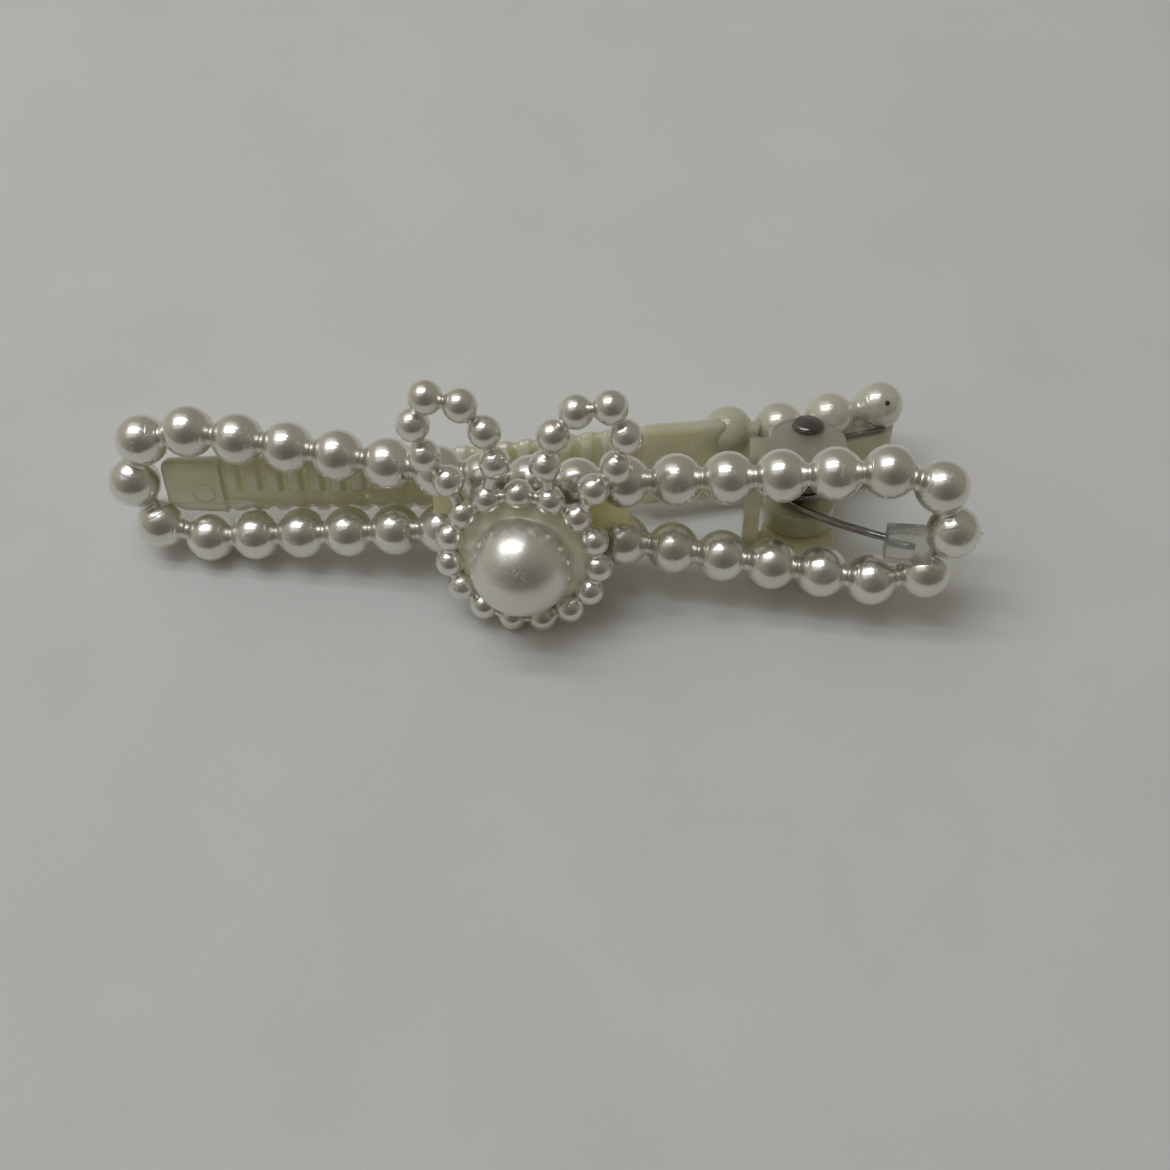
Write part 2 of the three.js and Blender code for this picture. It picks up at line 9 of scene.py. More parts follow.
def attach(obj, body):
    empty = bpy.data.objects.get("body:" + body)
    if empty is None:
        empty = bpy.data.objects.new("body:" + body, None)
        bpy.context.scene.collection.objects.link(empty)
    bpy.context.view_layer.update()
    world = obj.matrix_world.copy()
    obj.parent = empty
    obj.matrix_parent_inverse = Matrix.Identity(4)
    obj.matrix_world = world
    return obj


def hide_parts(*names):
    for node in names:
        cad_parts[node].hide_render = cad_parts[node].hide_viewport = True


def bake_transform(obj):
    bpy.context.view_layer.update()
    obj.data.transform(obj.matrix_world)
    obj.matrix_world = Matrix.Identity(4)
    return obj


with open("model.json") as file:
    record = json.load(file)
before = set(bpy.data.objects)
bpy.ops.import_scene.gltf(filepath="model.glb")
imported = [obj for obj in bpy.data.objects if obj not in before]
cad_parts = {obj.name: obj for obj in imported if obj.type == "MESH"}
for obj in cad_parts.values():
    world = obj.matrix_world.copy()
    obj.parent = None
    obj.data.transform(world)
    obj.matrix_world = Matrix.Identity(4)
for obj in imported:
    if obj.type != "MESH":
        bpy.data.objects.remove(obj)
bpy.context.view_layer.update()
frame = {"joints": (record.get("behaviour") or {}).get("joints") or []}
mm = 0.001

# The clip's own axes, in millimetres: X along the arms to the handle, Y from the loop to the ribbed arm,
# Z along the pin. The clip lies leaning back on three points, so these axes are turned into the frame's.
lay = {"lean": 24.57, "roll": 2.22, "pin": (25.5, 7.1, 0.0)}


def layTurn():
    # turn about X by minus the lean, after a turn about Y by minus the roll
    lean, roll = np.radians((-lay["lean"], -lay["roll"]))
    aboutX = np.array(((1, 0, 0), (0, np.cos(lean), -np.sin(lean)), (0, np.sin(lean), np.cos(lean))))
    aboutY = np.array(((np.cos(roll), 0, np.sin(roll)), (0, 1, 0), (-np.sin(roll), 0, np.cos(roll))))
    return aboutX @ aboutY


turn = layTurn()
shift = np.array(frame["joints"][0]["pos_m"]) - turn @ (np.array(lay["pin"]) * mm)


def toRow(points):
    return np.asarray(points, float) * mm @ turn.T + shift


def unit(vectors):
    vectors = np.asarray(vectors, float)
    return vectors / np.linalg.norm(vectors, axis=-1, keepdims=True)


# Surfaces, each given as its points in the clip's axes and its faces.


def ringSurface(rings, first=None, last=None):
    # rows of points joined by four-sided faces, each end closed by a fan to its middle point
    rows, sides = rings.shape[:2]
    first = rings[0].mean(0) if first is None else first
    last = rings[-1].mean(0) if last is None else last
    points = np.vstack((rings.reshape(-1, 3), first, last))
    side = np.arange(sides)
    after = (side + 1) % sides
    row = np.arange(rows - 1)[:, None] * sides
    quads = np.stack((row + side, row + after, row + sides + after, row + sides + side), -1).reshape(-1, 4)
    end = (rows - 1) * sides
    startFan = np.stack((after, side, np.full(sides, rows * sides)), -1)
    endFan = np.stack((end + side, end + after, np.full(sides, rows * sides + 1)), -1)
    return points, quads.tolist() + startFan.tolist() + endFan.tolist()


def turned(start, axis, along, radius, sides=40):
    # surface of revolution: at each distance along the axis a circle of the given radius
    axis = unit(axis)
    helper = np.array((0.0, 0.0, 1.0)) if abs(axis[2]) < 0.9 else np.array((1.0, 0.0, 0.0))
    across = unit(np.cross(helper, axis))
    up = np.cross(axis, across)
    angle = np.linspace(0, 2 * np.pi, sides, endpoint=False)
    spokes = np.cos(angle)[:, None] * across + np.sin(angle)[:, None] * up
    middle = np.asarray(start, float) + np.asarray(along, float)[:, None] * axis
    rings = middle[:, None] + np.asarray(radius, float)[:, None, None] * spokes
    return rings, middle


def ball(centre, radius, sides=40, rows=22):
    # a sphere: height minus radius times cosine of the polar angle, circle radius times its sine
    polar = np.linspace(0, np.pi, rows + 2)[1:-1]
    axis = np.array((0.0, -1.0, 0.0))
    rings, _ = turned(centre, axis, -radius * np.cos(polar), radius * np.sin(polar), sides)
    return ringSurface(rings, np.asarray(centre) - radius * axis, np.asarray(centre) + radius * axis)


# A neck starts inside its pearl, at this share of the radius; a higher power makes a tighter flare.
neckShape = {"inside": 0.6, "rows": 19, "power": 6, "dive": 0.96}


def link(start, end, startRadius, endRadius, neckRadius, sides=28):
    # the neck between two pearls: a soft maximum of both balls' circles and the neck, so it flares into each
    start, end = np.asarray(start, float), np.asarray(end, float)
    length = np.linalg.norm(end - start)
    inside, power, dive = neckShape["inside"], neckShape["power"], neckShape["dive"]
    along = np.linspace(inside * startRadius, length - inside * endRadius, neckShape["rows"])
    near = np.maximum(startRadius**2 - along**2, 0) ** (power / 2)
    far = np.maximum(endRadius**2 - (length - along) ** 2, 0) ** (power / 2)
    radius = (near + far + neckRadius**power) ** (1 / power)
    radius[[0, -1]] *= dive  # the ends dive under the pearls' skin
    rings, _ = turned(start, end - start, along, radius, sides)
    return ringSurface(rings)


def pearlString(centres, radii, neckRadius, closed=False):
    # pearls at each place, with a neck from each to the next
    count = len(centres)
    shapes = [ball(centre, radius) for centre, radius in zip(centres, radii)]
    for i in range(count if closed else count - 1):
        j = (i + 1) % count
        shapes.append(link(centres[i], centres[j], radii[i], radii[j], neckRadius))
    return shapes


def evenOutline(corners, count):
    # a closed outline laid out again with evenly spaced points
    ring = np.vstack((corners, corners[:1]))
    run = np.concatenate(((0,), np.cumsum(np.linalg.norm(np.diff(ring, axis=0), axis=1))))
    places = np.linspace(0, run[-1], count, endpoint=False)
    return np.stack([np.interp(places, run, ring[:, k]) for k in range(2)], -1)


def extruded(outline, low, high, bevel):
    # an outline carried from low to high, drawn in at both faces along a quarter round
    ahead = unit(np.roll(outline, -1, 0) - np.roll(outline, 1, 0))
    outward = np.stack((ahead[:, 1], -ahead[:, 0]), -1)
    quarter = np.linspace(0, np.pi / 2, 5)
    inset = bevel * (1 - np.sin(quarter))
    rise = bevel * (1 - np.cos(quarter))
    insets = np.concatenate((inset, inset[::-1]))
    heights = np.concatenate((low + rise, high - rise[::-1]))
    flat = outline[None] - insets[:, None, None] * outward[None]
    level = np.broadcast_to(heights[:, None, None], flat.shape[:2] + (1,))
    return ringSurface(np.concatenate((flat, level), -1))


def roundedBox(low, high, bevel):
    # a rectangle between two corners, extruded
    corners = np.array(((low[0], low[1]), (high[0], low[1]), (high[0], high[1]), (low[0], high[1])))
    return extruded(evenOutline(corners, 80), low[2], high[2], bevel)


def carriedTube(path, radius, sides=14):
    # a circle carried along a path, square to it, a little smaller at both ends
    ahead = unit(np.gradient(path, axis=0))
    across = unit(np.cross((0.0, 0.0, 1.0), ahead))
    up = np.cross(ahead, across)
    angle = np.linspace(0, 2 * np.pi, sides, endpoint=False)
    spokes = np.cos(angle)[None, :, None] * across[:, None] + np.sin(angle)[None, :, None] * up[:, None]
    size = np.full(len(path), radius)
    size[[0, -1]] *= 0.8  # cut ends, slightly broken
    return ringSurface(path[:, None] + size[:, None, None] * spokes)


def makePiece(name, shapes, material, node, body="front", sharp=None):
    points, faces, base = [], [], 0
    for shapePoints, shapeFaces in shapes:
        points.append(shapePoints)
        faces += [[base + corner for corner in face] for face in shapeFaces]
        base += len(shapePoints)
    mesh = bpy.data.meshes.new(name)
    mesh.from_pydata(toRow(np.vstack(points)).tolist(), [], faces)
    mesh.polygons.foreach_set("use_smooth", np.ones(len(mesh.polygons), bool))
    if sharp is not None:
        mesh.set_sharp_from_angle(angle=np.radians(sharp))
    mesh.materials.append(material)
    mesh.update()
    piece = bpy.data.objects.new(name, mesh)
    bpy.context.scene.collection.objects.link(piece)
    if body is not None:
        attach(piece, body)
    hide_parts(node)
    return piece


# Materials. Patterns are laid out in the piece's own coordinates, in metres.


def newNode(tree, kind, inputs=None, **settings):
    node = tree.nodes.new(kind)
    for key, value in settings.items():
        setattr(node, key, value)
    for key, value in (inputs or {}).items():
        if isinstance(value, bpy.types.NodeSocket):
            tree.links.new(value, node.inputs[key])
        else:
            node.inputs[key].default_value = value
    return node


def mapped(tree, value, low, high, toLow=0.0, toHigh=1.0):
    inputs = {"Value": value, "From Min": low, "From Max": high, "To Min": toLow, "To Max": toHigh}
    return newNode(tree, "ShaderNodeMapRange", inputs, interpolation_type="SMOOTHSTEP").outputs["Result"]


def calculated(tree, operation, first, second):
    return newNode(tree, "ShaderNodeMath", {0: first, 1: second}, operation=operation).outputs[0]


def blended(tree, factor, first, second):
    node = newNode(tree, "ShaderNodeMix", data_type="RGBA")
    for socket, value in zip((node.inputs[0], node.inputs[6], node.inputs[7]), (factor, first, second)):
        if isinstance(value, bpy.types.NodeSocket):
            tree.links.new(value, socket)
        else:
            socket.default_value = value
    return node.outputs[2]


def scuffGroup():
    # thin curved scuffs in patches, and a soft cloud of tone, both from noise of the given size
    group = bpy.data.node_groups.new("fineScuffs", "ShaderNodeTree")
    for socket, direction, kind in (
        ("Vector", "INPUT", "NodeSocketVector"),
        ("Size", "INPUT", "NodeSocketFloat"),
        ("Scuff", "OUTPUT", "NodeSocketFloat"),
        ("Tone", "OUTPUT", "NodeSocketFloat"),
    ):
        group.interface.new_socket(socket, in_out=direction, socket_type=kind)
    given = newNode(group, "NodeGroupInput").outputs
    vector, size = given["Vector"], given["Size"]
    lines = newNode(group, "ShaderNodeTexNoise", {
        "Vector": vector, "Scale": size, "Detail": 2.0, "Distortion": 1.2}).outputs[0]
    away = calculated(group, "ABSOLUTE", calculated(group, "SUBTRACT", lines, 0.5), 0.0)
    thin = mapped(group, away, 0.002, 0.009, 1.0, 0.0)
    patches = newNode(group, "ShaderNodeTexNoise", {
        "Vector": vector, "Scale": calculated(group, "MULTIPLY", size, 0.55), "Detail": 1.0}).outputs[0]
    tone = newNode(group, "ShaderNodeTexNoise", {
        "Vector": vector, "Scale": calculated(group, "MULTIPLY", size, 0.3), "Detail": 4.0}).outputs[0]
    result = newNode(group, "NodeGroupOutput").inputs
    group.links.new(calculated(group, "MULTIPLY", thin, mapped(group, patches, 0.56, 0.66)), result["Scuff"])
    group.links.new(tone, result["Tone"])
    return group


scuffs = scuffGroup()


def newMaterial(name, sockets):
    material = bpy.data.materials.new(name)
    material.use_nodes = True
    tree = material.node_tree
    shader = tree.nodes["Principled BSDF"]
    for key, value in sockets.items():
        shader.inputs[key].default_value = value
    place = newNode(tree, "ShaderNodeTexCoord").outputs["Object"]
    return material, tree, shader, place


def worn(tree, place, size):
    node = newNode(tree, "ShaderNodeGroup", node_tree=scuffs)
    tree.links.new(place, node.inputs["Vector"])
    node.inputs["Size"].default_value = size
    return node.outputs["Scuff"], node.outputs["Tone"]


def bumped(tree, shader, height, strength, distance):
    inputs = {"Height": height, "Strength": strength, "Distance": distance}
    bump = newNode(tree, "ShaderNodeBump", inputs)
    tree.links.new(bump.outputs["Normal"], shader.inputs["Normal"])


def pearlLacquer(name, sockets, silver, warm, metal, gloss, ripples, scuffSize=900.0, wear=0.3):
    # flake lacquer in a clear skin: a soft metal sheen, cloudy in tone, and a painted milky sheen where the
    # skin is seen edge on
    material, tree, shader, place = newMaterial(name, sockets)
    scuff, tone = worn(tree, place, scuffSize)
    facing = newNode(tree, "ShaderNodeLayerWeight", {"Blend": 0.5}).outputs["Facing"]
    # painted sheen: where the surface is seen edge on, the base colour turns milky and less metallic
    rim = mapped(tree, facing, 0.5, 1.0)
    lacquer = blended(tree, mapped(tree, tone, 0.35, 0.7), silver, warm)
    rimSheenTone = (0.88, 0.86, 0.78, 1)
    tree.links.new(blended(tree, rim, lacquer, rimSheenTone), shader.inputs["Base Color"])
    tree.links.new(mapped(tree, facing, 0.5, 1.0, metal, 0.35 * metal), shader.inputs["Metallic"])
    rough = calculated(tree, "ADD", mapped(tree, tone, 0.3, 0.75, gloss, gloss + 0.06),
                       calculated(tree, "MULTIPLY", scuff, 0.2))
    tree.links.new(rough, shader.inputs["Roughness"])
    ripple = newNode(tree, "ShaderNodeTexNoise", {"Vector": place, "Scale": 620.0, "Detail": 3.0}).outputs[0]
    height = calculated(tree, "SUBTRACT", ripple, calculated(tree, "MULTIPLY", scuff, wear))
    bumped(tree, shader, height, ripples, 0.00012)
    return material


def milkyPlastic(name, sockets, clear, milk, gloss, ripples):
    # translucent moulding: cloudy along the flow of the plastic, with a slightly wavy skin
    material, tree, shader, place = newMaterial(name, sockets)
    scuff, tone = worn(tree, place, 700.0)
    flow = newNode(tree, "ShaderNodeMapping", {"Vector": place, "Scale": (90.0, 500.0, 500.0)}).outputs[0]
    streaks = newNode(tree, "ShaderNodeTexNoise", {"Vector": flow, "Scale": 1.0, "Detail": 3.0}).outputs[0]
    tree.links.new(blended(tree, mapped(tree, streaks, 0.35, 0.7), clear, milk), shader.inputs["Base Color"])
    rough = calculated(tree, "ADD", mapped(tree, tone, 0.3, 0.7, gloss, gloss + 0.12),
                       calculated(tree, "MULTIPLY", scuff, 0.15))
    tree.links.new(rough, shader.inputs["Roughness"])
    ripple = newNode(tree, "ShaderNodeTexNoise", {"Vector": place, "Scale": 800.0, "Detail": 3.0}).outputs[0]
    bumped(tree, shader, ripple, ripples, 0.0003)
    return material


def drawnSteel(name, dark, light, gloss):
    # wire and rivet steel: cloudy in tone, finely grained, with dull spots
    material, tree, shader, place = newMaterial(name, {"Metallic": 1.0})
    scuff, tone = worn(tree, place, 1500.0)
    tree.links.new(blended(tree, mapped(tree, tone, 0.35, 0.7), dark, light), shader.inputs["Base Color"])
    rough = calculated(tree, "ADD", mapped(tree, tone, 0.3, 0.7, gloss, gloss + 0.1),
                       calculated(tree, "MULTIPLY", scuff, 0.2))
    tree.links.new(rough, shader.inputs["Roughness"])
    grain = newNode(tree, "ShaderNodeTexNoise", {"Vector": place, "Scale": 3800.0, "Detail": 2.0}).outputs[0]
    bumped(tree, shader, grain, 0.08, 0.00006)
    return material


def clearGlue():
    # pale adhesive with a lumpy skin, and a faint painted glow in place of light carried inside it
    material, tree, shader, place = newMaterial("clearGlue", {
        "Transmission Weight": 0.12, "IOR": 1.46, "Metallic": 0.0, "Coat Weight": 1.0, "Coat Roughness": 0.06,
        "Emission Color": (0.03, 0.028, 0.017, 1), "Emission Strength": 1.0})
    _, tone = worn(tree, place, 900.0)
    tint = blended(tree, mapped(tree, tone, 0.35, 0.7), (0.90, 0.88, 0.74, 1), (0.84, 0.81, 0.64, 1))
    tree.links.new(tint, shader.inputs["Base Color"])
    tree.links.new(mapped(tree, tone, 0.3, 0.7, 0.08, 0.2), shader.inputs["Roughness"])
    lumps = newNode(tree, "ShaderNodeTexNoise", {"Vector": place, "Scale": 900.0, "Detail": 1.0}).outputs[0]
    bumped(tree, shader, lumps, 0.5, 0.0004)
    return material


# Finishes: what is the same all over goes straight to the shader, the rest varies over the surface.
pearlFinish = pearlLacquer(
    "pearlLacquer", {"IOR": 1.5, "Coat Weight": 0.5, "Coat Roughness": 0.1, "Coat IOR": 1.5},
    silver=(0.83, 0.815, 0.755, 1), warm=(0.76, 0.735, 0.65, 1), metal=0.87, gloss=0.21, ripples=0.32)
bigPearlFinish = pearlLacquer(
    "pearlLacquerLarge", {"IOR": 1.5, "Coat Weight": 0.5, "Coat Roughness": 0.12, "Coat IOR": 1.5},
    silver=(0.84, 0.82, 0.755, 1), warm=(0.78, 0.755, 0.67, 1), metal=0.84, gloss=0.3, ripples=0.3,
    scuffSize=560.0, wear=0.6)
handlePearlFinish = pearlLacquer(
    "milkyPearl", {"IOR": 1.5, "Coat Weight": 1.0, "Coat Roughness": 0.08, "Coat IOR": 1.5},
    silver=(0.78, 0.765, 0.655, 1), warm=(0.70, 0.68, 0.555, 1), metal=0.44, gloss=0.22, ripples=0.5)
milkyFinish = milkyPlastic(
    "milkyPlastic", {
        "Transmission Weight": 0.3, "IOR": 1.5, "Coat Weight": 1.0, "Coat Roughness": 0.03,
        "Subsurface Weight": 0.9, "Subsurface Radius": (1.0, 0.97, 0.82), "Subsurface Scale": 0.0025},
    clear=(0.77, 0.745, 0.53, 1), milk=(0.84, 0.82, 0.64, 1), gloss=0.15, ripples=0.14)
# the web and the wall are painted lighter than the arm's plastic and glow faintly: painted light in place of
# light carried inside the thin plastic
webFinish = milkyPlastic(
    "webPlastic", {
        "Transmission Weight": 0.3, "IOR": 1.5, "Coat Weight": 0.8, "Coat Roughness": 0.08,
        "Emission Color": (0.035, 0.031, 0.006, 1), "Emission Strength": 1.0},
    clear=(0.95, 0.92, 0.62, 1), milk=(0.98, 0.96, 0.72, 1), gloss=0.18, ripples=0.2)
wallFinish = milkyPlastic(
    "wallPlastic", {
        "Transmission Weight": 0.3, "IOR": 1.5, "Coat Weight": 0.6, "Coat Roughness": 0.1,
        "Emission Color": (0.010, 0.009, 0.003, 1), "Emission Strength": 1.0},
    clear=(0.84, 0.81, 0.58, 1), milk=(0.90, 0.87, 0.66, 1), gloss=0.2, ripples=0.2)
platePearlFinish = milkyPlastic(
    "platePearl", {"Transmission Weight": 0.3, "IOR": 1.5, "Coat Weight": 1.0, "Coat Roughness": 0.05},
    clear=(0.74, 0.72, 0.52, 1), milk=(0.81, 0.79, 0.62, 1), gloss=0.2, ripples=0.3)
frostedFinish = milkyPlastic(
    "frostedPlastic", {
        "Transmission Weight": 0.75, "IOR": 1.45,
        "Subsurface Weight": 0.5, "Subsurface Radius": (1.0, 0.97, 0.85), "Subsurface Scale": 0.0012},
    clear=(0.72, 0.705, 0.60, 1), milk=(0.78, 0.765, 0.67, 1), gloss=0.28, ripples=0.15)
clearFinish = milkyPlastic(
    "clearPlastic", {"Transmission Weight": 0.75, "IOR": 1.45},
    clear=(0.92, 0.91, 0.86, 1), milk=(0.88, 0.87, 0.81, 1), gloss=0.24, ripples=0.1)
markFinish = milkyPlastic(
    "markPlastic", {"IOR": 1.5, "Coat Weight": 0.5},
    clear=(0.50, 0.48, 0.34, 1), milk=(0.56, 0.54, 0.40, 1), gloss=0.2, ripples=0.1)
# near black, for a small dark dot on a handle pearl
dotFinish = milkyPlastic(
    "darkDot", {"IOR": 1.5},
    clear=(0.03, 0.028, 0.025, 1), milk=(0.05, 0.045, 0.04, 1), gloss=0.5, ripples=0.1)
wireFinish = drawnSteel("drawnWire", dark=(0.24, 0.235, 0.225, 1), light=(0.36, 0.35, 0.335, 1), gloss=0.12)
rivetFinish = drawnSteel("rivetSteel", dark=(0.17, 0.165, 0.155, 1), light=(0.26, 0.25, 0.235, 1), gloss=0.12)
glueFinish = clearGlue()
print("materials ready")

# The loop of pearls: two rows that draw together at the waist, and three pearls round each end.
loop = {
    "radius": 2.47, "neck": 1.05, "waistPitch": 4.38, "waistHeight": 2.75, "rowPitch": 4.75, "rowPearls": 6,
    "rowSlope": 0.116, "corner": (37.3, 4.75), "endX": 39.1,
}


def loopCentres():
    # one quarter from the waist to the corner, mirrored in turn round the whole loop
    out = 2 * loop["waistPitch"] + loop["rowPitch"] * np.arange(loop["rowPearls"])
    x = np.concatenate(((loop["waistPitch"],), out))
    z = loop["waistHeight"] + loop["rowSlope"] * (x - loop["waistPitch"])
    quarter = np.vstack((np.stack((x, z), -1), loop["corner"]))
    half = np.vstack(((0, loop["waistHeight"]), quarter, (loop["endX"], 0), quarter[::-1] * (1, -1)))
    flat = np.vstack((half, -half))
    return np.stack((flat[:, 0], np.zeros(len(flat)), flat[:, 1]), -1)


centres = loopCentres()
makePiece("pearlLoop", pearlString(centres, np.full(len(centres), loop["radius"]), loop["neck"], True),
          pearlFinish, "front_arm")
print("pearl loop:", len(centres), "pearls")

# The rest of the decorated arm's moulding: web at the waist, hinge lugs, spring stop and moulding nubs.
web = {"halfLength": 11.5, "halfHeight": 3.4, "hollow": 2.2, "halfThickness": 0.8, "bevel": 0.2}
lug = {
    "left": 20.05, "right": 29.3, "start": 0.8, "shoulder": 5.05, "corner": 0.35, "tabY": 5.4, "tabWidth": 3.5,
    "tabDepth": 3.8, "faces": (4.6, 6.0), "bevel": 0.2,
}
wall = {"low": (20.05, 1.6, -5.8), "high": (21.5, 4.75, 5.8), "bevel": 0.22}
stop = {"low": (33.15, -1.55, -3.0), "high": (37.4, 0.45, 0.4), "bevel": 0.22}
nubs = {
    "end": (39.1, 0, 0), "endAxis": (1, 0, 0), "endRadius": 0.45, "endReach": 0.28,
    "rows": ((8.76, 0.2, 3.26), (8.76, 0.2, -3.26)), "lean": (0, 0.6, 0.8), "radius": 0.42, "reach": 0.45,
}


def waistWeb():
    # a band with hollowed ends, each end a parabola, extruded across the arm
    s = np.linspace(-1, 1, 15)
    endX = web["halfLength"] - web["hollow"] * (1 - s**2)
    right = np.stack((endX, web["halfHeight"] * s), -1)
    corners = np.vstack((right, -right))
    half = web["halfThickness"]
    points, faces = extruded(evenOutline(corners, 120), -half, half, web["bevel"])
    return points[:, (0, 2, 1)] * (1, -1, 1), faces


def lugOutline():
    # straight sides back from the pearls to a shoulder, then half an ellipse behind the pin
    sweep = np.linspace(0, np.pi, 40)
    pinX, left, corner = lay["pin"][0], lug["left"], lug["corner"]
    backX, backY = pinX + lug["tabWidth"] * np.cos(sweep), lug["tabY"] + lug["tabDepth"] * np.sin(sweep)
    back = np.stack((backX, backY), -1)
    quarter = np.linspace(np.pi / 2, np.pi, 6)
    turnX, turnY = left + corner * (1 + np.cos(quarter)), lug["shoulder"] + corner * (np.sin(quarter) - 1)
    shoulder = np.stack((turnX, turnY), -1)
    inner = (pinX - lug["tabWidth"], lug["shoulder"])
    corners = np.vstack(((left, lug["start"]), (lug["right"], lug["start"]), back, inner, shoulder))
    return evenOutline(corners, 180)


def nub(root, axis, radius, reach):
    # a short rounded stub: circle radius falls off as a quarter round
    s = np.linspace(0, 1, 8)
    along = reach * s
    rings, _ = turned(root, axis, along, radius * np.sqrt(1 - 0.98 * s**4), 16)
    return ringSurface(rings)


lowFace, highFace = lug["faces"]
endNub = nub(nubs["end"], nubs["endAxis"], nubs["endRadius"], loop["radius"] + nubs["endReach"])
webShapes = [waistWeb(), endNub]
webShapes += [nub(root, nubs["lean"], nubs["radius"], loop["radius"] + nubs["reach"]) for root in nubs["rows"]]
wallShapes = [roundedBox(wall["low"], wall["high"], wall["bevel"]),
              extruded(lugOutline(), -highFace, -lowFace, lug["bevel"])]
makePiece("loopMoulding", webShapes, webFinish, "front_arm", sharp=40)
makePiece("lowerLug", wallShapes, wallFinish, "front_arm", sharp=40)
makePiece("upperLug", [extruded(lugOutline(), lowFace, highFace, lug["bevel"])], frostedFinish, "front_arm",
          sharp=40)
makePiece("springStop", [roundedBox(stop["low"], stop["high"], stop["bevel"])], clearFinish, "front_arm",
          sharp=40)
print("loop moulding: web, lugs, stop")

# The ribbed arm: a bowed jaw with cross ribs and a lengthwise channel, a smooth plate and a short handle.
arm = {
    "tipX": -36.4, "padX": -35.6, "tipSlope": 1.2, "endX": 34.6, "endRound": 0.5, "ribs": (-30.4, 9.95),
    "ribPitch": 2.0, "ribShare": 0.6, "flank": 0.22, "fade": 0.1, "ribDepth": 0.7, "crestDrop": 0.3,
    "ledge": (0.55, 0.7), "sink": (-30.8, -25.0), "face": (4.75, 0.2165, 0.0021), "bendX": 17.5,
    "handleSlope": 0.251, "step": (21.0, 21.3, 0.7), "thickness": 1.9, "upperChamfer": 1.0,
    "lowerChamfer": 1.15, "grooveChamfer": 1.0, "edge": 0.45, "edgeShare": 0.25, "channel": (-2.15, -0.8),
    "shallow": 0.04, "round": 0.42, "roundShare": 0.45,
    "lowerX": (-36.4, -35.6, -34.6, -30.6, -30.2, 10.8, 17.5, 34.6),
    "lowerZ": (-2.45, -2.7, -3.25, -3.35, -3.7, -4.2, -4.3, -4.15),
    "upperX": (-36.4, -35.6, -30.6, -10.0, 10.8, 17.5, 19.6, 34.6),
    "upperZ": (2.0, 2.35, 2.65, 3.2, 4.65, 4.65, 4.1, 3.65),
}
padMark = {"x": -32.3, "z": -0.9, "radius": 1.05, "tube": 0.07, "height": 0.015}
# a small near-black dot on the last handle pearl
dot = {"place": (33.49, 13.41, 5.69), "radius": 0.24}
armLug = {"radius": 3.5, "upper": (3.3, 4.2), "lower": (-4.3, -2.1), "reach": 13.0, "bevel": 0.18}
handlePearls = ((18.15, 11.4, 2.75), (23.1, 12.4, 3.0), (28.0, 13.5, 3.8), (32.9, 15.4, 4.3))


def smoothStep(value, low, high):
    t = np.clip((value - low) / (high - low), 0, 1)
    return t * t * (3 - 2 * t)


def faceY(x):
    # the inner face: a parabola along the jaw, a straight line along the handle
    jaw = np.minimum(x, arm["bendX"])
    level, slope, bow = arm["face"]
    return level + slope * jaw + bow * jaw**2 + arm["handleSlope"] * np.maximum(0, x - arm["bendX"])


def ribWave(x):
    # one on a rib's crest and nought in a groove, with soft flanks; one where there are no ribs
    first, last = arm["ribs"]
    phase = np.abs(((x - first) / arm["ribPitch"]) % 1 - 0.5) * 2
    crest = 1 - smoothStep(phase, arm["ribShare"] - arm["flank"], arm["ribShare"] + arm["flank"])
    fade = arm["fade"]
    inside = smoothStep(x, first - fade, first) * (1 - smoothStep(x, last, last + fade))
    return 1 - inside * (1 - crest), inside


def armPlaces():
    # places along X, close together over the ribs, the step and both rounded ends
    first, last = arm["ribs"]
    stepStart, stepEnd, _ = arm["step"]
    ends = arm["endRound"] * (1 - np.cos(np.linspace(0, np.pi / 2, 8)))
    return np.concatenate((
        arm["tipX"] + ends, np.linspace(arm["tipX"] + 0.6, first - 0.15, 40),
        np.linspace(first - 0.1, last + 0.1, 420), np.linspace(last + 0.3, stepStart - 0.1, 40),
        np.linspace(stepStart, stepEnd, 8), np.linspace(stepEnd + 0.1, arm["endX"] - 0.8, 50),
        arm["endX"] - ends[::-1]))


def alongSides(sides):
    # a short way along each side of a polygon, less on a short side
    length = np.linalg.norm(sides, axis=-1, keepdims=True)
    return np.minimum(arm["round"], arm["roundShare"] * length) * unit(sides + 1e-9)


def softened(corners):
    # each corner of a polygon becomes a parabola that starts and ends a short way along its two sides
    before, after = np.roll(corners, 1, 1) - corners, np.roll(corners, -1, 1) - corners
    s = np.linspace(0, 1, 5)[None, None, :, None]
    start, end = (corners + alongSides(before))[:, :, None], (corners + alongSides(after))[:, :, None]
    curve = (1 - s) ** 2 * start + 2 * s * (1 - s) * corners[:, :, None] + s**2 * end
    return curve.reshape(len(corners), -1, 2)


